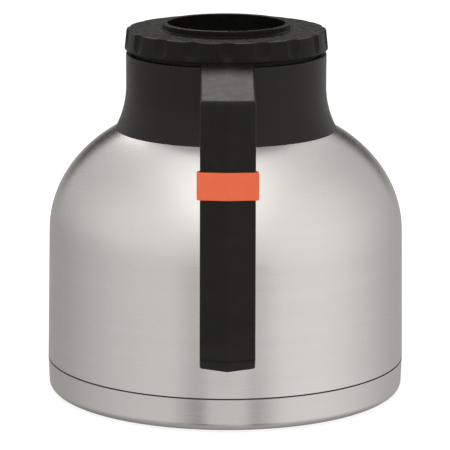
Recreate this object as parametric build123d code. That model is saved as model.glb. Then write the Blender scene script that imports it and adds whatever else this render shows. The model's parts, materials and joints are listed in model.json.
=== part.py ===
from build123d import *
import math
import os

# A vacuum-insulated steel coffee carafe with a screw-in, brew-through lid.
# Millimetres. The origin is at the centre of the foot, on the surface that it stands on.
# +Z is up, the handle is towards -Y and the pouring spout towards +Y.

# Steel bottle: a side that widens a little downwards, then a quarter ellipse as the shoulder.
BODY_R = 84.7
SHOULDER_Z = 77.9
BASE_FLARE = 1 / 61.25
SHOULDER_CENTRE_R = 14.0
SHOULDER_RISE = 59.2
SHOULDER_SWEEP = 66.0
SHEET = 0.8
SEAM_Z = 16.4
SEAM_GAP = 0.7
NECK_R = 38.0
NECK_TOP = 150.0
NECK_BEAD_Z = 143.0
NECK_BEAD = 0.9

# Inner flask and the vacuum jacket between the two walls.
FLASK_INSET = 4.9
FLASK_NECK_R = 35.3
FLASK_FOOT = 19.0
FLASK_CORNER = 14.0
RIM_R = 38.8

# Foot.
FOOT_CLEAR = 0.8
FOOT_DRAFT = 0.8
FOOT_EDGE_R = 3.8
PAD_R = 62.0
PAD_T = 1.9

# Black collar with its spout.
COLLAR_R = 47.7
COLLAR_TOP = 163.7
COLLAR_FLARE_Z = 148.0
COLLAR_FLARE_R = 43.7
COLLAR_FOOT_Z = 127.6
COLLAR_WALL = 2.3
TROUGH_Z = 153.4
SPOUT_LOW_Z = 144.0

# Threaded neck insert, and the quick thread that it shares with the lid.
INSERT_BORE_R = 41.8
INSERT_TOP = 162.5
SHELF_TOP = 152.6
THREAD_LEAD = 24.0
THREAD_STARTS = 4
LUG_ROOT = 2.2
LUG_TIP = 1.4
INSERT_LUG_Z = 159.0
LID_LUG_Z = 156.5

# Lid.
LID_TOP = 175.0
LID_SKIRT_Z = 165.7
LID_TOP_R = 47.4
LID_EDGE_R = 0.8
LID_SKIRT_R = 48.4
LID_DECK = 2.2
PLUG_R = 39.4
PLUG_BORE_R = 37.0
PLUG_FOOT_Z = 154.2
RING_TOP = 178.0
RING_R = 30.3
BREW_INLET_R = 27.9
SCALLOPS = 18
SCALLOP_R = 8.0
SCALLOP_DEPTH = 1.2
SCALLOP_FOOT_Z = 167.0
OUTLET_R = 6.5
LID_SCREWS = 3
LID_SCREW_RADIAL = 33.2

# Float valve under the lid.
BALL_R = 9.0
CAGE_BORE_R = 11.0
CAGE_R = 12.6
CAGE_FLOOR = 125.0
CAGE_TOP = 151.2
SEAT_Z = 147.0

# Handle: an arm from the collar, then a straight grip with a free lower end.
# The grip leans, with its lower end further out than its top.
HANDLE_HALF = 12.4
HANDLE_LEAN = 8.0
HANDLE_TOE_Y = -125.6
HANDLE_VEE = 4.0
GRIP_DEPTH = 15.2
ARM_UNDER = 142.0
ARM_CORNER_R = 9.0
ARM_ROOT_Y = -46.0
ARM_ROOT_Z = 166.8
ARM_FRONT_Z = 158.7
ROOF = 0.6
HANDLE_WALL = 2.4
HANDLE_EDGE_R = 1.2
HANDLE_CORNER_R = 1.5
PARTING_DEPTH = 10.7
PARTING_Z = 146.5
LOWER_END_Z = 45.0

# Coloured band that slides on the grip.
BAND_MIDDLE_Z = 121.6
BAND_HEIGHT = 12.4
BAND_CLEAR = 0.27
BAND_WALL = 1.2

SECTION = Plane.XZ
SIDE = Plane.YZ


def turned(*curves):
    """Solid of revolution about +Z, from a closed outline drawn as (radius, height)."""
    return revolve(SECTION * make_face(list(curves)), Axis.Z)


def ring(*corners):
    """Turned piece with straight sides between its (radius, height) corners."""
    return turned(Polyline(*corners, close=True))


def rod(radius, start, end):
    """Round rod between two points."""
    axis = Line(start, end)
    return extrude(Plane(start, z_dir=axis % 0) * Circle(radius), axis.length)


def side_block(outline, half_width):
    """Outline drawn as (y, z), given the same width on both sides of the middle plane."""
    return extrude(SIDE * make_face([outline]), half_width, both=True)


# ------------------------------------------------------------------ steel bottle

def body_radius(z):
    """Outside radius of the bottle's side at height z."""
    return BODY_R + (SHOULDER_Z - z) * BASE_FLARE


def shoulder_and_neck(inset, neck_radius, top):
    """Shoulder, the sweep into the neck and the neck itself, inset from the outside."""
    shoulder = EllipticalCenterArc(
        (SHOULDER_CENTRE_R, SHOULDER_Z),
        BODY_R - SHOULDER_CENTRE_R - inset,
        SHOULDER_RISE - inset,
        0,
        arc_size=SHOULDER_SWEEP,
    )
    end = shoulder @ 1
    heading = shoulder % 1
    sweep_radius = (end.X - neck_radius) / (1 - heading.Y)
    neck_foot = (neck_radius, end.Y - sweep_radius * heading.X)
    neck_arc = TangentArc(end, neck_foot, tangent=heading)
    return [shoulder, neck_arc, Line(neck_foot, (neck_radius, top))]


def bottle_side(inset, bottom):
    """Straight side of the bottle from a height up to the shoulder."""
    return Line((body_radius(bottom) - inset, bottom), (BODY_R - inset, SHOULDER_Z))


def outer_shell():
    bottom = SEAM_Z + SEAM_GAP / 2
    outside = [bottle_side(0, bottom), *shoulder_and_neck(0, NECK_R, NECK_TOP)]
    inside = [bottle_side(SHEET, bottom), *shoulder_and_neck(SHEET, NECK_R - SHEET, NECK_TOP)]
    foot = Line(outside[0] @ 0, inside[0] @ 0)
    lip = Line(outside[-1] @ 1, inside[-1] @ 1)
    bead = turned(
        ThreePointArc(
            (NECK_R - SHEET / 2, NECK_BEAD_Z - 1.5),
            (NECK_R + NECK_BEAD, NECK_BEAD_Z),
            (NECK_R - SHEET / 2, NECK_BEAD_Z + 1.5),
        ),
        Line((NECK_R - SHEET / 2, NECK_BEAD_Z + 1.5), (NECK_R - SHEET / 2, NECK_BEAD_Z - 1.5)),
    )
    return turned(*outside, foot, *inside, lip) + bead


def flask_outline(inset, foot, corner, neck_radius, top):
    """Flat floor, rounded corner, side, shoulder and neck of the inner flask."""
    floor_and_side = FilletPolyline(
        (0, foot), (body_radius(foot) - inset, foot), (BODY_R - inset, SHOULDER_Z), radius=corner
    )
    return [floor_and_side, *shoulder_and_neck(inset, neck_radius, top)]


def inner_flask():
    outside = flask_outline(FLASK_INSET, FLASK_FOOT, FLASK_CORNER, FLASK_NECK_R, NECK_TOP)
    inside = flask_outline(
        FLASK_INSET + SHEET, FLASK_FOOT + SHEET, FLASK_CORNER - SHEET, FLASK_NECK_R - SHEET, NECK_TOP
    )
    axis_line = Line((0, FLASK_FOOT), (0, FLASK_FOOT + SHEET))
    lip = Line(outside[-1] @ 1, inside[-1] @ 1)
    rim = ring(
        (FLASK_NECK_R - SHEET, NECK_TOP),
        (RIM_R, NECK_TOP),
        (RIM_R, NECK_TOP + SHEET),
        (FLASK_NECK_R - SHEET, NECK_TOP + SHEET),
    )
    return turned(*outside, axis_line, *inside, lip) + rim


def reflector_foil():
    low_z = 30.0
    near = FLASK_INSET - 0.4
    far = FLASK_INSET - 0.7
    return ring(
        (body_radius(low_z) - near, low_z),
        (body_radius(low_z) - far, low_z),
        (BODY_R - far, SHOULDER_Z),
        (BODY_R - near, SHOULDER_Z),
    )


def vessel_bottom():
    """Dished plate that closes the vacuum jacket, spot welded inside the side."""
    rim = body_radius(24) - SHEET - 0.05
    return ring(
        (0, 12.5), (72, 12.5), (rim - 0.9, 20.6), (rim, 22), (rim, 26),
        (rim - 0.8, 26), (rim - 0.8, 22.4), (71.6, 13.5), (0, 13.5),
    )


def evacuation_seal():
    return Pos(0, 0, 12.5) * Cylinder(4, 3, align=(Align.CENTER, Align.CENTER, Align.MAX))


def getter_capsule():
    return Pos(30, 0, 13.5) * Cylinder(7, 3, align=(Align.CENTER, Align.CENTER, Align.MIN))


# ------------------------------------------------------------------ foot

def base_cap():
    """Pressed steel pan whose raised rim slips inside the bottle's side."""
    top = SEAM_Z - SEAM_GAP / 2
    rim_z = SEAM_Z + 4
    under = FOOT_CLEAR
    spigot = body_radius(rim_z) - SHEET - 0.05
    recess = PAD_R + 0.5
    corners = {
        (0, PAD_T): 0,
        (recess, PAD_T): 0.5,
        (recess + 1.2, under): 0.5,
        (body_radius(under) - FOOT_DRAFT, under): FOOT_EDGE_R,
        (body_radius(top), top): 0,
        (spigot, top): 0,
        (spigot, rim_z): 0,
        (spigot - SHEET, rim_z): 0,
        (spigot - SHEET, top - 1.6): 0,
        (body_radius(top) - SHEET, top - 2.8): 0,
        (body_radius(under) - FOOT_DRAFT - SHEET, under + SHEET): FOOT_EDGE_R - SHEET,
        (recess + 1.7, under + SHEET): 0.5,
        (recess + 0.4, PAD_T + SHEET): 0.5,
        (0, PAD_T + SHEET): 0,
    }
    return turned(FilletPolyline(*corners.keys(), radius=list(corners.values()), close=True))


def base_pad():
    corners = ((0, 0), (PAD_R - 1, 0), (PAD_R, 1), (PAD_R, PAD_T), (0, PAD_T))
    return ring(*corners)


# ------------------------------------------------------------------ collar

def flare_radius(z, wall=0.0):
    """Radius of the collar's flared skirt at height z."""
    reach = COLLAR_FLARE_R + wall
    return COLLAR_R + COLLAR_FLARE_R - math.sqrt(reach**2 - (COLLAR_FLARE_Z - z) ** 2)


def spout_section(z, inset):
    """Drop-shaped level section of the spout at height z."""
    part = (z - SPOUT_LOW_Z) / (COLLAR_TOP - SPOUT_LOW_Z)
    root = Pos(0, 19 + 5 * part) * Circle(13 + 10.5 * part - inset)
    tip = Pos(0, 40 + 16.2 * part) * Circle(3 + 3.2 * part - inset)
    return Pos(0, 0, z) * make_hull([*root.edges(), *tip.edges()])


def skirt_gasket():
    return ring((48.2, 129.9), (50.6, 128.8), (50.6, 130.2), (48.2, 131.4))


def collar():
    inner_r = COLLAR_R - COLLAR_WALL
    inside_foot_z = 129.75
    outside_foot = (flare_radius(COLLAR_FOOT_Z), COLLAR_FOOT_Z)
    inside_foot = (flare_radius(inside_foot_z, COLLAR_WALL), inside_foot_z)
    outside_arc = TangentArc((COLLAR_R, COLLAR_FLARE_Z), outside_foot, tangent=(0, -1))
    inside_arc = TangentArc((inner_r, COLLAR_FLARE_Z), inside_foot, tangent=(0, -1))
    walls = FilletPolyline(
        (inner_r, COLLAR_FLARE_Z),
        (inner_r, COLLAR_TOP),
        (COLLAR_R, COLLAR_TOP),
        (COLLAR_R, COLLAR_FLARE_Z),
        radius=0.6,
    )
    skirt = turned(walls, outside_arc, Line(outside_foot, inside_foot), inside_arc)

    spout = loft([spout_section(SPOUT_LOW_Z, 0), spout_section(COLLAR_TOP, 0)], ruled=True)
    core = Cylinder(inner_r + 0.6, 200, align=(Align.CENTER, Align.CENTER, Align.MIN))
    trough_r = 43.9
    ledge_low, ledge_high = 158.0, 160.5
    ledge = ring((trough_r, ledge_low), (inner_r + 0.3, ledge_low), (inner_r + 0.3, ledge_high),
                 (trough_r, ledge_high))
    floor = ring((trough_r, TROUGH_Z - 2.4), (inner_r + 0.3, TROUGH_Z - 2.4),
                 (inner_r + 0.3, TROUGH_Z), (trough_r, TROUGH_Z))
    trough = loft([spout_section(TROUGH_Z, 2.2), spout_section(COLLAR_TOP + 1, 2.2)], ruled=True)
    body = skirt + (spout - core) + ledge + floor - trough - skirt_gasket()
    for hole in bracket_screw_places():
        body -= bracket_screw(hole, clearance=0.15)
    return body


# ------------------------------------------------------------------ neck insert and thread

def thread_lug(root_r, tip_r, z, half_angle, bearing):
    """Helical lug on a wall; its trapezoid is buried 0.4 mm in the wall."""
    outward = 1 if tip_r > root_r else -1
    buried = root_r - 0.4 * outward
    rise = THREAD_LEAD * half_angle / 360
    helix = Helix(THREAD_LEAD, 2 * rise, root_r)
    trapezoid = Polyline(
        (buried, -LUG_ROOT / 2), (tip_r, -LUG_TIP / 2), (tip_r, LUG_TIP / 2), (buried, LUG_ROOT / 2),
        close=True,
    )
    section = SECTION * make_face([trapezoid])
    lug = sweep(section, path=helix, is_frenet=True)
    return Pos(0, 0, z - rise) * Rot(0, 0, bearing - half_angle) * lug


def thread_lugs(root_r, tip_r, z, half_angle):
    """One lug for each start of the thread."""
    step = 360 / THREAD_STARTS
    return [thread_lug(root_r, tip_r, z, half_angle, step * start) for start in range(THREAD_STARTS)]


def neck_insert():
    sleeve_foot = 139.0
    bore = NECK_R + 0.4
    body = ring(
        (bore, sleeve_foot), (INSERT_BORE_R, sleeve_foot), (INSERT_BORE_R, 150.4),
        (43.6, 151.8), (43.6, 160.5), (45.2, 160.5), (45.2, INSERT_TOP),
        (INSERT_BORE_R, INSERT_TOP), (INSERT_BORE_R, SHELF_TOP), (RIM_R - 2.2, SHELF_TOP),
        (RIM_R - 2.2, SHELF_TOP - 1), (RIM_R + 0.2, SHELF_TOP - 1),
        (RIM_R + 0.2, NECK_TOP - 0.2), (bore, NECK_TOP - 0.2),
    )
    bead_groove = ring((NECK_R, NECK_BEAD_Z - 2), (NECK_R + 1.2, NECK_BEAD_Z - 1),
                       (NECK_R + 1.2, NECK_BEAD_Z + 1), (NECK_R, NECK_BEAD_Z + 2))
    window_low = TROUGH_Z
    window_high = 160.0
    window_half = 16.0
    window = Pos(0, 35, window_low) * Box(
        2 * window_half, 14, window_high - window_low, align=(Align.CENTER, Align.MIN, Align.MIN)
    )
    lugs = thread_lugs(INSERT_BORE_R, 40.1, INSERT_LUG_Z, 20)
    return (body + lugs) - bead_groove - window


def neck_gasket():
    low = NECK_TOP + SHEET
    return ring((RIM_R - 2.2, low), (RIM_R, low), (RIM_R, SHELF_TOP - 1), (RIM_R - 2.2, SHELF_TOP - 1))


# ------------------------------------------------------------------ lid

def scallop(bearing):
    """Finger scallop in the lid's rim: an even groove with a ball end above the rim's lower edge."""
    inward = (LID_SKIRT_R - LID_TOP_R) / (LID_TOP - LID_SKIRT_Z)
    reach = LID_TOP_R + SCALLOP_R - SCALLOP_DEPTH
    end_z = SCALLOP_FOOT_Z + math.sqrt(SCALLOP_R**2 - (SCALLOP_R - SCALLOP_DEPTH) ** 2)
    over = 6.0
    start = (reach - inward * over, 0, LID_TOP + over)
    end = (reach + inward * (LID_TOP - end_z), 0, end_z)
    return Rot(0, 0, bearing) * (rod(SCALLOP_R, start, end) + Pos(*end) * Sphere(SCALLOP_R))


def lid_screw_places():
    """Bearings of the screws that hold the stopper's base."""
    return [30 + 360 * index / LID_SCREWS for index in range(LID_SCREWS)]


def lid_cap():
    under = LID_TOP - LID_DECK
    rim_under = 169.2
    seal_z = 165.0
    corners = {
        (BREW_INLET_R, under): 0,
        (BREW_INLET_R, RING_TOP): 0.4,
        (RING_R, RING_TOP): 0.5,
        (RING_R, LID_TOP): 0.5,
        (LID_TOP_R, LID_TOP): LID_EDGE_R,
        (LID_SKIRT_R, LID_SKIRT_Z): 0.4,
        (45.8, LID_SKIRT_Z): 0,
        (45.8, rim_under): 0,
        (43.8, rim_under): 0,
        (43.8, seal_z): 0,
        (41.9, seal_z): 0,
        (41.9, under): 0,
        (PLUG_R, under): 0,
        (PLUG_R, PLUG_FOOT_Z): 0,
        (PLUG_BORE_R, PLUG_FOOT_Z): 0,
        (PLUG_BORE_R, under): 0,
    }
    cap = turned(FilletPolyline(*corners.keys(), radius=list(corners.values()), close=True))
    cap += thread_lugs(PLUG_R, 41.3, LID_LUG_Z, 25)
    for index in range(SCALLOPS):
        cap -= scallop(-90 + 360 * index / SCALLOPS)
    boss_foot = PLUG_FOOT_Z + 3.2
    for bearing in lid_screw_places():
        post = rod(2.4, (LID_SCREW_RADIAL, 0, boss_foot), (LID_SCREW_RADIAL, 0, under))
        web = Pos((LID_SCREW_RADIAL + PLUG_BORE_R + 0.4) / 2, 0, (boss_foot + under) / 2) * Box(
            PLUG_BORE_R + 0.4 - LID_SCREW_RADIAL, 2.4, under - boss_foot
        )
        pilot = rod(1.2, (LID_SCREW_RADIAL, 0, boss_foot - 1), (LID_SCREW_RADIAL, 0, boss_foot + 9))
        cap += Rot(0, 0, bearing) * (post + web)
        cap -= Rot(0, 0, bearing) * pilot
    return cap


def brew_funnel():
    top = LID_TOP - LID_DECK
    foot = CAGE_TOP - 1.15
    wall = 1.8
    return ring(
        (BREW_INLET_R, top), (BREW_INLET_R - 0.6, top - 3.3), (OUTLET_R, 160.5), (OUTLET_R, foot),
        (OUTLET_R + wall, foot), (OUTLET_R + wall, 159.4), (29.9, top - 4.5), (30.6, top - 2), (30.6, top),
    )


def stopper_base():
    """Plate that closes the plug; its rim slips inside the plug and the gasket grips its edge."""
    edge = RIM_R - 3
    bore = OUTLET_R + 2
    plate = ring(
        (bore, CAGE_TOP), (edge + 0.5, CAGE_TOP), (edge + 0.5, CAGE_TOP + 1), (edge, CAGE_TOP + 1),
        (edge, PLUG_FOOT_Z), (PLUG_BORE_R - 0.2, PLUG_FOOT_Z), (PLUG_BORE_R - 0.2, PLUG_FOOT_Z + 3),
        (PLUG_BORE_R - 2.2, PLUG_FOOT_Z + 3), (PLUG_BORE_R - 2.2, PLUG_FOOT_Z), (bore, PLUG_FOOT_Z),
    )
    for bearing in lid_screw_places():
        hole = rod(1.4, (LID_SCREW_RADIAL, 0, CAGE_TOP - 1), (LID_SCREW_RADIAL, 0, PLUG_FOOT_Z + 4))
        counterbore = rod(2.3, (LID_SCREW_RADIAL, 0, CAGE_TOP - 1), (LID_SCREW_RADIAL, 0, CAGE_TOP + 1.5))
        plate -= Rot(0, 0, bearing) * (hole + counterbore)
    return plate


def stopper_gasket():
    edge = RIM_R - 3
    return ring(
        (edge, CAGE_TOP + 1.05), (edge + 0.6, CAGE_TOP + 1.05), (edge + 0.6, SHELF_TOP + 0.05),
        (38.9, SHELF_TOP + 0.05), (38.9, PLUG_FOOT_Z), (edge, PLUG_FOOT_Z),
    )


def lid_gasket():
    low = INSERT_TOP + 0.05
    return ring((39.7, low), (44.6, low), (44.6, 165.0), (39.7, 165.0))


def lid_screws():
    """Small pan-head screws, driven up through the stopper's base."""
    head_z = CAGE_TOP + 0.2
    screws = []
    for bearing in lid_screw_places():
        head = rod(2.1, (LID_SCREW_RADIAL, 0, head_z), (LID_SCREW_RADIAL, 0, head_z + 1.3))
        shank = rod(1.1, (LID_SCREW_RADIAL, 0, head_z + 1.3), (LID_SCREW_RADIAL, 0, head_z + 12))
        screws.append(Rot(0, 0, bearing) * (head + shank))
    return screws


# ------------------------------------------------------------------ float valve

def valve_seat():
    top = CAGE_TOP - 0.05
    return ring(
        (7.4, SEAT_Z), (CAGE_BORE_R - 0.1, SEAT_Z), (CAGE_BORE_R - 0.1, top), (OUTLET_R + 1.9, top),
        (OUTLET_R + 1.9, top - 1.15), (OUTLET_R + 0.1, top - 1.15), (OUTLET_R + 0.1, SEAT_Z + 0.8),
    )


def valve_cage():
    floor_t = 2.0
    cage = ring(
        (0, CAGE_FLOOR - floor_t), (CAGE_R, CAGE_FLOOR - floor_t), (CAGE_R, CAGE_TOP - 2),
        (17, CAGE_TOP - 2), (17, CAGE_TOP), (CAGE_BORE_R, CAGE_TOP), (CAGE_BORE_R, SEAT_Z),
        (10.4, SEAT_Z), (10.4, SEAT_Z - 1.2), (CAGE_BORE_R, SEAT_Z - 1.8), (CAGE_BORE_R, CAGE_FLOOR),
        (0, CAGE_FLOOR),
    )
    window = Pos(0, 0, 135.5) * Box(40, 11, 17)
    drain = rod(2.4, (6.8, 0, CAGE_FLOOR - 4), (6.8, 0, CAGE_FLOOR + 1))
    for quarter in range(2):
        cage -= Rot(0, 0, 90 * quarter) * window
    for quarter in range(4):
        cage -= Rot(0, 0, 90 * quarter) * drain
    return cage


def valve_ball():
    return Pos(0, 0, CAGE_FLOOR + 0.05 + BALL_R) * Sphere(BALL_R)


# ------------------------------------------------------------------ handle

def grip_y(z, depth=0.0):
    """Y at height z of the grip's front ridge, or of a line that runs at a depth behind it."""
    return HANDLE_TOE_Y + (z - LOWER_END_Z) * math.tan(math.radians(HANDLE_LEAN)) + depth


def handle_outline(share):
    """Side view of the handle's outside, from its middle plane (share 0) to its side (share 1), as (y, z)."""
    vee = HANDLE_VEE * share
    knuckle_z = ARM_FRONT_Z - ROOF * share
    toe = grip_y(LOWER_END_Z) + vee - 1.8
    foot_z = LOWER_END_Z - 5.5 - 0.7 * (1 - share)
    flare_z = LOWER_END_Z + 6
    heel_z = LOWER_END_Z - 2
    corners = {
        (ARM_ROOT_Y, ARM_ROOT_Z - ROOF * share): 0,
        (grip_y(knuckle_z) + vee, knuckle_z): 3,
        (grip_y(flare_z) + vee, flare_z): 12,
        (toe, LOWER_END_Z): HANDLE_CORNER_R,
        (toe + 6, foot_z): HANDLE_CORNER_R,
        (grip_y(LOWER_END_Z, GRIP_DEPTH) - 2, foot_z): HANDLE_CORNER_R,
        (grip_y(heel_z, GRIP_DEPTH), heel_z): HANDLE_CORNER_R,
        (grip_y(ARM_UNDER, GRIP_DEPTH), ARM_UNDER): ARM_CORNER_R,
        (ARM_ROOT_Y, ARM_UNDER): 0,
    }
    return FilletPolyline(*corners.keys(), radius=list(corners.values()), close=True)


def cavity_outline(share):
    """Side view of the space inside the handle, as (y, z)."""
    front = HANDLE_VEE * share + HANDLE_WALL
    back = GRIP_DEPTH - HANDLE_WALL
    lift = ROOF * share + HANDLE_WALL
    root_y = ARM_ROOT_Y - 6
    slope = (ARM_ROOT_Z - ARM_FRONT_Z) / (ARM_ROOT_Y - grip_y(ARM_FRONT_Z))
    knuckle_z = ARM_FRONT_Z - lift
    under_z = ARM_UNDER + HANDLE_WALL
    foot_z = LOWER_END_Z + 4
    corners = {
        (root_y, ARM_ROOT_Z - lift - slope * (ARM_ROOT_Y - root_y)): 0,
        (grip_y(knuckle_z, front), knuckle_z): 1.5,
        (grip_y(foot_z, front), foot_z): 0,
        (grip_y(foot_z, back), foot_z): 0,
        (grip_y(under_z, back), under_z): ARM_CORNER_R + HANDLE_WALL,
        (root_y, under_z): 0,
    }
    return FilletPolyline(*corners.keys(), radius=list(corners.values()), close=True)


def vee_solid(outline, half_width):
    """Both halves of a handle shape, each ruled from the middle plane to one side."""
    share = half_width / HANDLE_HALF
    middle = SIDE * make_face([outline(0)])
    edge = SIDE * make_face([outline(share)])
    return [
        loft([middle, Pos(side * half_width, 0, 0) * edge], ruled=True) for side in (-1, 1)
    ]


def handle_body():
    left, right = vee_solid(handle_outline, HANDLE_HALF)
    body = left + right
    rim = [edge for edge in body.edges() if abs(abs(edge.center().X) - HANDLE_HALF) < 0.01]
    body = fillet(rim, HANDLE_EDGE_R)
    gap = 0.2
    low, high = 136.0, 170.0
    near = COLLAR_R + gap
    lid_room_r = LID_SKIRT_R + 0.6
    lid_room_z = LID_SKIRT_Z - 0.6
    flare_end = (flare_radius(low) + gap, low)
    collar_room = turned(
        Polyline((near, COLLAR_FLARE_Z), (near, lid_room_z), (lid_room_r, lid_room_z), (lid_room_r, high),
                 (0, high), (0, low), flare_end),
        TangentArc((near, COLLAR_FLARE_Z), flare_end, tangent=(0, -1)),
    )
    return body - collar_room


def frame_block():
    """Everything on the hand's side of the parting line."""
    foot_z = LOWER_END_Z + 1.5
    corners = {
        (-40, PARTING_Z): 0,
        (grip_y(PARTING_Z, PARTING_DEPTH), PARTING_Z): ARM_CORNER_R + ARM_UNDER - PARTING_Z + 9,
        (grip_y(foot_z, PARTING_DEPTH), foot_z): 0,
        (-40, foot_z): 0,
    }
    outline = FilletPolyline(*corners.keys(), radius=list(corners.values()), close=True)
    return side_block(outline, 20)


def cavity():
    left, right = vee_solid(cavity_outline, HANDLE_HALF - HANDLE_WALL)
    return left + right


def cover_screw_places():
    """Where each cover screw enters, the way it points, and the depth of its boss in the cover."""
    lean = math.radians(HANDLE_LEAN)
    forward = (0, -math.cos(lean), math.sin(lean))
    grip_screws = [((0, grip_y(z, GRIP_DEPTH), z), forward, 13.2) for z in (62, 100)]
    return [*grip_screws, ((0, -75, ARM_UNDER), (0, 0, 1), 19.2)]


def along(place, distance):
    """Point at a distance along a cover screw's axis."""
    start, heading, _ = place
    return tuple(position + distance * part for position, part in zip(start, heading))


def handle_frame():
    body = (handle_body() & frame_block()) - cavity()
    depth = GRIP_DEPTH - PARTING_DEPTH
    for place in cover_screw_places():
        body += rod(4.0, along(place, HANDLE_WALL - 0.6), along(place, depth))
        body -= rod(2.8, along(place, -1), along(place, 1.9))
        body -= rod(1.7, along(place, 1), along(place, depth + 1))
    return body


def handle_cover():
    body = handle_body() - frame_block() - cavity()
    depth = GRIP_DEPTH - PARTING_DEPTH
    for place in cover_screw_places():
        body += rod(3.6, along(place, depth), along(place, place[2]))
        body -= rod(1.45, along(place, depth - 1), along(place, 11.2))
    for hole in bracket_screw_places():
        body -= rod(1.9, (0, -40, hole), (0, -54, hole))
    return body


def handle_bracket():
    """Bent steel strip that ties the grip to the collar."""
    t = 2.0
    near, under = -52.2, ARM_UNDER + HANDLE_WALL + 0.2
    depth = GRIP_DEPTH - HANDLE_WALL - 0.2
    bend = ARM_CORNER_R + HANDLE_WALL + 0.2
    foot_z, top_z = 54, 161
    corners = {
        (near, top_z): 0,
        (near, under): 3,
        (grip_y(under, depth), under): bend,
        (grip_y(foot_z, depth), foot_z): 0,
        (grip_y(foot_z, depth - t), foot_z): 0,
        (grip_y(under + t, depth - t), under + t): bend + t,
        (near - t, under + t): 1,
        (near - t, top_z): 0,
    }
    outline = FilletPolyline(*corners.keys(), radius=list(corners.values()), close=True)
    strip = side_block(outline, 7.5)
    for hole in bracket_screw_places():
        strip -= rod(1.75, (0, -50, hole), (0, -58, hole))
    for place in cover_screw_places():
        strip -= rod(4.2, along(place, 1), along(place, 7))
    return strip


def bracket_screw_places():
    """Heights of the two screws that hold the handle to the collar."""
    return (148.6, 155.7)


def bracket_screw(z, clearance=0.0):
    head = rod(2.2 + clearance, (0, -44.0, z), (0, -45.5 - clearance, z))
    shank = rod(1.7 + clearance, (0, -45.4, z), (0, -56.0, z))
    return head + shank


def bracket_screws():
    return [bracket_screw(z) for z in bracket_screw_places()]


def cover_screws():
    screws = []
    for place in cover_screw_places():
        head = rod(2.6, along(place, 0.4), along(place, 1.85))
        shank = rod(1.35, along(place, 1.8), along(place, 11))
        screws.append(head + shank)
    return screws


# ------------------------------------------------------------------ coloured band

def band_plan(grow, corner):
    """Section square to the grip, with the ridge as its origin, grown outwards from the grip."""
    half = HANDLE_HALF + grow
    ridge = -grow * math.hypot(1, HANDLE_VEE / HANDLE_HALF)
    side = ridge + HANDLE_VEE * half / HANDLE_HALF
    back = GRIP_DEPTH * math.cos(math.radians(HANDLE_LEAN)) + grow
    corners = {
        (0, ridge): 2,
        (half, side): corner,
        (half, back): corner,
        (-half, back): corner,
        (-half, side): corner,
    }
    return make_face([FilletPolyline(*corners.keys(), radius=list(corners.values()), close=True)])


def colour_band():
    sleeve = extrude(band_plan(BAND_CLEAR + BAND_WALL, 1.3), BAND_HEIGHT / 2, both=True)
    rims = [edge for edge in sleeve.edges() if abs(edge.length - BAND_HEIGHT) > 0.01]
    sleeve = fillet(rims, 0.7) - extrude(band_plan(BAND_CLEAR, 0.4), BAND_HEIGHT, both=True)
    return Pos(0, grip_y(BAND_MIDDLE_Z), BAND_MIDDLE_Z) * Rot(-HANDLE_LEAN, 0, 0) * sleeve


# ------------------------------------------------------------------ one file for each piece

PIECES = {
    "outer_shell": outer_shell,
    "inner_flask": inner_flask,
    "reflector_foil": reflector_foil,
    "vessel_bottom": vessel_bottom,
    "evacuation_seal": evacuation_seal,
    "getter_capsule": getter_capsule,
    "base_cap": base_cap,
    "base_pad": base_pad,
    "collar": collar,
    "skirt_gasket": skirt_gasket,
    "neck_insert": neck_insert,
    "neck_gasket": neck_gasket,
    "handle_cover": handle_cover,
    "handle_frame": handle_frame,
    "handle_bracket": handle_bracket,
    "bracket_screws": bracket_screws,
    "cover_screws": cover_screws,
    "colour_band": colour_band,
    "lid_cap": lid_cap,
    "lid_gasket": lid_gasket,
    "brew_funnel": brew_funnel,
    "stopper_base": stopper_base,
    "stopper_gasket": stopper_gasket,
    "lid_screws": lid_screws,
    "valve_seat": valve_seat,
    "valve_cage": valve_cage,
    "valve_ball": valve_ball,
}

os.makedirs("parts", exist_ok=True)
for name, make in PIECES.items():
    made = make()
    solids = made if isinstance(made, list) else made.solids()
    piece = solids[0] if len(solids) == 1 else Compound(children=solids)
    piece.label = name
    export_step(piece, f"parts/{name}.step")
    print(name, len(solids), round(sum(solid.volume for solid in solids), 1))
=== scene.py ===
import json
import math

import bpy
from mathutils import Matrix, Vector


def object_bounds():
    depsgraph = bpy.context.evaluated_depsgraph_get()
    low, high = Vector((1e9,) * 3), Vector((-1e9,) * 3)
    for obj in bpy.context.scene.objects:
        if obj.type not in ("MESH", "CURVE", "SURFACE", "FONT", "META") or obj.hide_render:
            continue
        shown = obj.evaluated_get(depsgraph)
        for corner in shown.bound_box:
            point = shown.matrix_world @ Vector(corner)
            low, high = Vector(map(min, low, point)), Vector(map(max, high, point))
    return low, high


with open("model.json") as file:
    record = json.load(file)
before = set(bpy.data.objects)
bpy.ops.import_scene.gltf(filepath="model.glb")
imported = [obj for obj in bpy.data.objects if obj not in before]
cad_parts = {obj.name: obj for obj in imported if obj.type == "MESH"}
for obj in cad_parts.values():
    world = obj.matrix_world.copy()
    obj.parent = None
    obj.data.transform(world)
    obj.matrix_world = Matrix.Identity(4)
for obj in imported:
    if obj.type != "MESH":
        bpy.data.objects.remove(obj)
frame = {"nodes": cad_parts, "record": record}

MM = 0.001
nodes = frame["nodes"]
cad_low, cad_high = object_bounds()


# ------------------------------------------------------------------ camera

CAMERA_DISTANCE = 1.393
CAMERA_HEIGHT = 0.382
CAMERA_ASIDE = -0.0117
CAMERA_DOWN = 12.25
CAMERA_ROLL = -0.2
CAMERA_LEFT = 0.057
FOCAL_LENGTH = 236.9


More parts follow.
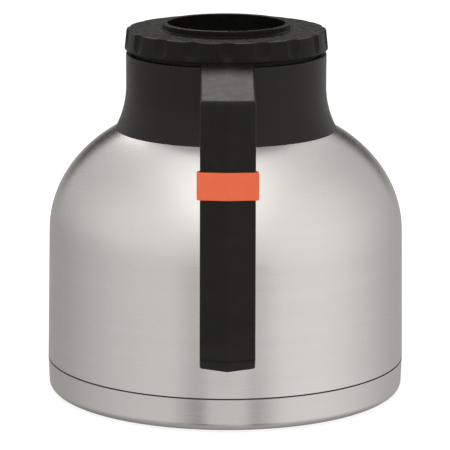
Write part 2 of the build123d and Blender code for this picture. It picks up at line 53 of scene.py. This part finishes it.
def make_camera():
    """Lengths in metres, angles in degrees. The camera faces the handle from a little above."""
    data = bpy.data.cameras.new("camera")
    data.sensor_width = 36
    data.lens = FOCAL_LENGTH
    data.clip_end = 50
    camera = bpy.data.objects.new("camera", data)
    camera.location = (CAMERA_ASIDE, -CAMERA_DISTANCE, CAMERA_HEIGHT)
    turn = math.degrees(math.atan2(CAMERA_ASIDE, CAMERA_DISTANCE)) + CAMERA_LEFT
    camera.rotation_euler = [math.radians(angle) for angle in (90 - CAMERA_DOWN, CAMERA_ROLL, turn)]
    bpy.context.scene.collection.objects.link(camera)
    bpy.context.scene.camera = camera


# ------------------------------------------------------------------ node helpers

class Nodes:
    """Short way to build the nodes of a material or a world."""

    def __init__(self, tree):
        self.tree = tree

    def add(self, kind, inputs=None, **settings):
        node = self.tree.nodes.new(kind)
        for key, value in settings.items():
            setattr(node, key, value)
        for key, value in (inputs or {}).items():
            self.feed(node.inputs[key], value)
        return node

    def feed(self, socket, value):
        if isinstance(value, bpy.types.NodeSocket):
            self.tree.links.new(value, socket)
        else:
            socket.default_value = value

    def place(self):
        """The point in the row frame, in metres."""
        return self.add("ShaderNodeTexCoord").outputs["Object"]

    def math(self, operation, first, second=0.0):
        return self.add("ShaderNodeMath", {0: first, 1: second}, operation=operation).outputs[0]

    def spread(self, value, low, high, new_low, new_high, curve="LINEAR"):
        node = self.add(
            "ShaderNodeMapRange",
            {"Value": value, "From Min": low, "From Max": high, "To Min": new_low, "To Max": new_high},
            interpolation_type=curve,
        )
        return node.outputs["Result"]

    def smooth(self, value, low, high, new_low, new_high):
        return self.spread(value, low, high, new_low, new_high, "SMOOTHSTEP")

    def rise(self, value, low, high, top=1.0):
        return self.smooth(value, low, high, 0.0, top)

    def fall(self, value, low, high):
        return self.smooth(value, low, high, 1.0, 0.0)

    def product(self, first, *others):
        for factor in others:
            first = self.math("MULTIPLY", first, factor)
        return first

    def total(self, first, *others):
        for term in others:
            first = self.math("ADD", first, term)
        return first

    def without(self, value):
        """One less the value, which shuts out what a mask of 1 covers."""
        return self.math("SUBTRACT", 1.0, value)

    def distance(self, value, middle):
        return self.math("ABSOLUTE", self.math("SUBTRACT", value, middle))

    def noise(self, vector, scale, detail=2.0, roughness=0.5):
        node = self.add("ShaderNodeTexNoise", {
            "Vector": vector, "Scale": scale, "Detail": detail, "Roughness": roughness,
        })
        return node.outputs["Fac"]

    def blend(self, value, first, second):
        node = self.add("ShaderNodeMix", data_type="RGBA")
        self.feed(node.inputs[0], value)
        self.feed(node.inputs[6], first)
        self.feed(node.inputs[7], second)
        return node.outputs[2]

    def colours(self, value, dark, light):
        return self.blend(value, (*dark, 1), (*light, 1))

    def bump(self, height, strength, distance):
        node = self.add("ShaderNodeBump", {"Height": height, "Strength": strength, "Distance": distance})
        return node.outputs["Normal"]


class Paint(Nodes):
    """A material on one Principled shader."""

    def __init__(self, name):
        self.material = bpy.data.materials.new(name)
        self.material.use_nodes = True
        super().__init__(self.material.node_tree)
        self.shader = self.tree.nodes["Principled BSDF"]

    def set(self, **values):
        for key, value in values.items():
            self.feed(self.shader.inputs[key.replace("_", " ")], value)


# ------------------------------------------------------------------ materials

SEAM_LOW = 16.05 * MM
GROOVE_EDGE = 0.1 * MM
# Near-black painted shade for the ledge and spigot inside the seam groove of the base.
GROOVE_SHADE_COLOUR = (0.03, 0.03, 0.03, 1)
STEEL_COLOUR = (0.70, 0.681, 0.668)
BRUSH_DEPTH = 0.02 * MM


def turned_place(paint, around, along):
    """Place on a surface of revolution: round its axis without a join, and along its height."""
    x, y, z = paint.add("ShaderNodeSeparateXYZ", {"Vector": paint.place()}).outputs
    radius = paint.math("SQRT", paint.total(paint.product(x, x), paint.product(y, y)))
    joined = paint.add("ShaderNodeCombineXYZ", {
        "X": paint.product(paint.math("DIVIDE", x, radius), around),
        "Y": paint.product(paint.math("DIVIDE", y, radius), around),
        "Z": paint.product(paint.total(z, radius), along),
    })
    return joined.outputs["Vector"]


def brushed_steel(name, roughness, groove_z=None):
    """Stainless steel with fine lines brushed round the bottle; above groove_z the colour is painted
    near-black, a painted shade for the shadowed seam groove.
    """
    steel = Paint(name)
    fine = steel.noise(turned_place(steel, 1.6, 2600), 1.0, 3.0, 0.6)
    broad = steel.noise(turned_place(steel, 0.8, 240), 1.0, 2.0)
    cloud = steel.noise(steel.place(), 22.0, 3.0)
    dark = tuple(channel * 0.955 for channel in STEEL_COLOUR)
    tone = steel.total(steel.product(fine, 0.5), steel.product(broad, 0.5))
    wear = steel.total(steel.product(fine, 0.6), steel.product(cloud, 0.4))
    tangent = steel.add("ShaderNodeTangent", direction_type="RADIAL", axis="Z").outputs["Tangent"]
    tint = steel.colours(steel.spread(tone, 0.3, 0.7, 0, 1), dark, STEEL_COLOUR)
    # Painted shade: above groove_z the base colour turns near-black where the seam groove would lie in
    # shadow.
    if groove_z is not None:
        height = steel.add("ShaderNodeSeparateXYZ", {"Vector": steel.place()}).outputs["Z"]
        groove_shade_mask = steel.rise(height, groove_z - GROOVE_EDGE, groove_z + GROOVE_EDGE)
        tint = steel.blend(groove_shade_mask, tint, GROOVE_SHADE_COLOUR)
    steel.set(
        Base_Color=tint,
        Metallic=1.0,
        Roughness=steel.spread(wear, 0.3, 0.7, roughness - 0.04, roughness + 0.05),
        Anisotropic=0.75,
        Anisotropic_Rotation=0.25,
        Tangent=tangent,
        Normal=steel.bump(fine, 0.25, BRUSH_DEPTH),
    )
    return steel.material


def moulded_plastic(name, dark, light, roughness, grain, depth, specular, scale=1500.0):
    """Plastic with the fine spark-eroded texture of a mould; grain is the share of fine mottle."""
    plastic = Paint(name)
    place = plastic.place()
    pits = plastic.noise(place, scale, 2.0, 0.6)
    mottle = plastic.noise(place, scale * 0.22, 3.0, 0.55)
    haze = plastic.noise(place, 30.0, 2.0)
    tone = plastic.total(plastic.product(mottle, grain), plastic.product(haze, 1 - grain))
    plastic.set(
        Base_Color=plastic.colours(plastic.spread(tone, 0.35, 0.65, 0, 1), dark, light),
        Roughness=plastic.spread(mottle, 0.3, 0.7, roughness - 0.05, roughness + 0.06),
        Specular_IOR_Level=specular,
        Normal=plastic.bump(plastic.total(pits, mottle), 0.5, depth),
    )
    return plastic.material


def orange_plastic():
    plastic = Paint("orange_band")
    place = plastic.place()
    haze = plastic.noise(place, 60.0, 3.0)
    grain = plastic.noise(place, 1800.0, 2.0)
    tone = plastic.spread(haze, 0.35, 0.65, 0, 1)
    plastic.set(
        Base_Color=plastic.colours(tone, (0.66, 0.108, 0.037), (0.71, 0.126, 0.046)),
        Roughness=plastic.spread(haze, 0.3, 0.7, 0.42, 0.52),
        Specular_IOR_Level=0.4,
        Subsurface_Weight=0.12,
        Subsurface_Radius=(4 * MM, 1.5 * MM, 0.8 * MM),
        Normal=plastic.bump(grain, 0.2, 0.04 * MM),
    )
    return plastic.material


def rubber(name, dark, light, roughness):
    soft = Paint(name)
    place = soft.place()
    dust = soft.noise(place, 400.0, 4.0, 0.65)
    soft.set(
        Base_Color=soft.colours(soft.spread(dust, 0.35, 0.7, 0, 1), dark, light),
        Roughness=soft.spread(dust, 0.3, 0.7, roughness - 0.06, roughness + 0.06),
        Specular_IOR_Level=0.3,
        Normal=soft.bump(dust, 0.35, 0.1 * MM),
    )
    return soft.material


def plain_metal(name, colour, roughness):
    """Pressed or plated metal inside the object."""
    metal = Paint(name)
    place = metal.place()
    cloud = metal.noise(place, 90.0, 3.0)
    grain = metal.noise(place, 1600.0, 2.0)
    dark = tuple(channel * 0.93 for channel in colour)
    metal.set(
        Base_Color=metal.colours(metal.spread(cloud, 0.35, 0.65, 0, 1), dark, colour),
        Metallic=1.0,
        Roughness=metal.spread(grain, 0.3, 0.7, roughness - 0.04, roughness + 0.06),
        Normal=metal.bump(grain, 0.3, 0.03 * MM),
    )
    return metal.material


def paint_nodes():
    shell = brushed_steel("steel_shell", 0.25)
    base = brushed_steel("steel_base", 0.26, SEAM_LOW)
    satin = plain_metal("steel_satin", (0.60, 0.59, 0.57), 0.36)
    plated = plain_metal("steel_plated", (0.58, 0.58, 0.57), 0.30)
    foil = plain_metal("foil", (0.85, 0.85, 0.86), 0.18)
    collar = moulded_plastic(
        "plastic_collar", (0.0024, 0.0021, 0.0016), (0.0040, 0.0036, 0.0029),
        roughness=0.30, grain=0.7, depth=0.02 * MM, specular=0.27,
    )
    handle = moulded_plastic(
        "plastic_handle", (0.0022, 0.0020, 0.0018), (0.0050, 0.0046, 0.0040),
        roughness=0.38, grain=0.7, depth=0.08 * MM, specular=0.20, scale=1100.0,
    )
    lid = moulded_plastic(
        "plastic_lid", (0.0040, 0.0037, 0.0031), (0.0060, 0.0056, 0.0048),
        roughness=0.28, grain=0.7, depth=0.02 * MM, specular=0.13,
    )
    inner = moulded_plastic(
        "plastic_inner", (0.0010, 0.0010, 0.0009), (0.0016, 0.0016, 0.0014),
        roughness=0.45, grain=0.6, depth=0.03 * MM, specular=0.06,
    )
    natural = moulded_plastic(
        "plastic_natural", (0.60, 0.59, 0.55), (0.70, 0.69, 0.65),
        roughness=0.4, grain=0.5, depth=0.04 * MM, specular=0.5,
    )
    pad = rubber("rubber_black", (0.010, 0.010, 0.010), (0.020, 0.020, 0.019), 0.75)
    silicone = rubber("silicone_grey", (0.42, 0.42, 0.40), (0.50, 0.50, 0.48), 0.55)
    by_slot = {
        "brushed_shell": shell, "brushed_base": base, "satin_steel": satin, "plated_steel": plated,
        "foil": foil, "black_rubber": pad, "collar_plastic": collar, "inner_plastic": inner,
        "handle_plastic": handle, "orange_plastic": orange_plastic(), "lid_plastic": lid,
        "silicone": silicone, "natural_plastic": natural,
    }
    for row in frame["record"]["subparts"]:
        mesh = nodes[row["node"]].data
        mesh.materials.clear()
        mesh.materials.append(by_slot[row["material_slot"]])


# ------------------------------------------------------------------ studio

# Radiance of the surround, where 1 is the white of the picture.
WALL_BACK = 0.41
WALL_FRONT = 0.88
RIGHT_GAIN = 0.15
BACK_DIM = 0.9
CAMERA_DIM = 0.10
GAP_DEPTH = 0.80
FOOT_DIM = 0.45
CEILING = 0.13
CEILING_LEFT_GAIN = 0.6
STRIP = 0.52
OVERHEAD_DIM = 0.08
BACK_LIGHT = 2.0

# Where the middles of the front panel and of the strip light lie, as the X of a direction.
PANEL_X = 0.01
STRIP_X = -0.05

FLOOR_HALF = 6.0


def make_floor():
    mesh = bpy.data.meshes.new("floor")
    corners = [(x * FLOOR_HALF, y * FLOOR_HALF, 0) for x, y in ((-1, -1), (1, -1), (1, 1), (-1, 1))]
    mesh.from_pydata(corners, [], [(0, 1, 2, 3)])
    floor = bpy.data.objects.new("floor", mesh)
    bpy.context.scene.collection.objects.link(floor)
    pale = Paint("floor_pale")
    grain = pale.noise(pale.place(), 3.0, 2.0)
    pale.set(
        Base_Color=pale.colours(grain, (0.24, 0.24, 0.24), (0.26, 0.26, 0.26)),
        Roughness=0.9,
        Specular_IOR_Level=0.1,
        Emission_Color=(1, 1, 1, 1),
        Emission_Strength=0.84,
    )
    mesh.materials.append(pale.material)
    floor.visible_glossy = False


def level_behind(studio, y, z):
    """Mask of the directions straight behind the object and a little above level."""
    return studio.product(studio.rise(z, -0.10, 0.15), studio.fall(z, 0.28, 0.48), studio.rise(y, 0.80, 0.94))


def wall_light(studio, x, y, z):
    """Walls dark behind the object, light in front and lighter on the right, with dim places."""
    forward = studio.math("MULTIPLY", y, -1.0)
    walls = studio.product(
        studio.smooth(forward, -1.1, 0.6, WALL_BACK, WALL_FRONT),
        studio.total(studio.product(x, RIGHT_GAIN), 1.0),
        studio.without(studio.product(level_behind(studio, y, z), BACK_DIM)),
    )
    aside = studio.distance(x, PANEL_X)
    gaps_beside_panel = studio.product(
        studio.rise(aside, 0.20, 0.25), studio.fall(aside, 0.26, 0.60),
        studio.fall(z, -0.37, -0.25), studio.rise(forward, 0.5, 0.75), GAP_DEPTH,
    )
    walls = studio.math("SUBTRACT", walls, studio.rise(forward, 0.80, 1.0, CAMERA_DIM))
    walls = studio.math("SUBTRACT", walls, gaps_beside_panel)
    return studio.product(walls, studio.smooth(z, -0.75, -0.28, 1.0 - FOOT_DIM, 1.0))


def overhead_light(studio, x, y, z):
    """A pale ceiling, a strip light along the middle, and a light high up behind."""
    ceiling = studio.product(
        studio.rise(z, -0.15, 0.20, CEILING),
        studio.without(studio.product(x, CEILING_LEFT_GAIN)),
        studio.without(level_behind(studio, y, z)),
    )
    off_middle = studio.distance(x, STRIP_X)
    strip = studio.product(studio.fall(off_middle, 0.08, 0.70), studio.rise(z, 0.25, 0.85, STRIP))
    high_behind = studio.product(
        studio.rise(z, 0.36, 0.46), studio.fall(z, 0.60, 0.75),
        studio.fall(off_middle, 0.18, 0.36), studio.rise(y, 0.45, 0.7, BACK_LIGHT),
    )
    dim_top = studio.product(studio.rise(y, 0.0, 0.45), studio.rise(z, 0.75, 0.92, OVERHEAD_DIM))
    return studio.math("SUBTRACT", studio.total(ceiling, strip, high_behind), dim_top)


def make_world():
    """Soft surround. The camera sees plain white; light and reflections come from a shaped studio."""
    world = bpy.data.worlds.new("studio")
    world.use_nodes = True
    bpy.context.scene.world = world
    studio = Nodes(world.node_tree)
    direction = studio.add("ShaderNodeTexCoord").outputs["Generated"]
    x, y, z = studio.add("ShaderNodeSeparateXYZ", {"Vector": direction}).outputs
    strength = studio.total(wall_light(studio, x, y, z), overhead_light(studio, x, y, z))
    surround = studio.add("ShaderNodeBackground", {"Color": (1.0, 0.985, 0.96, 1), "Strength": strength})
    backdrop = studio.add("ShaderNodeBackground", {"Color": (0.96, 0.96, 0.96, 1)})
    seen = studio.add("ShaderNodeLightPath").outputs["Is Camera Ray"]
    mix = studio.add("ShaderNodeMixShader", {0: seen, 1: surround.outputs[0], 2: backdrop.outputs[0]})
    studio.feed(world.node_tree.nodes["World Output"].inputs["Surface"], mix.outputs[0])


def make_top_light():
    data = bpy.data.lights.new("top_light", "AREA")
    data.shape = "RECTANGLE"
    data.size, data.size_y = 1.0, 0.8
    data.energy = 6.0
    data.color = (1.0, 0.99, 0.97)
    light = bpy.data.objects.new("top_light", data)
    light.location = (0.0, 0.35, 1.3)
    middle = (cad_low + cad_high) / 2
    light.rotation_euler = (middle - light.location).to_track_quat("-Z", "Y").to_euler()
    light.visible_glossy = False
    bpy.context.scene.collection.objects.link(light)


# ------------------------------------------------------------------ scene

view_settings = bpy.context.scene.view_settings
view_settings.view_transform = "Standard"
view_settings.look = "None"

make_camera()
paint_nodes()
make_floor()
make_world()
make_top_light()
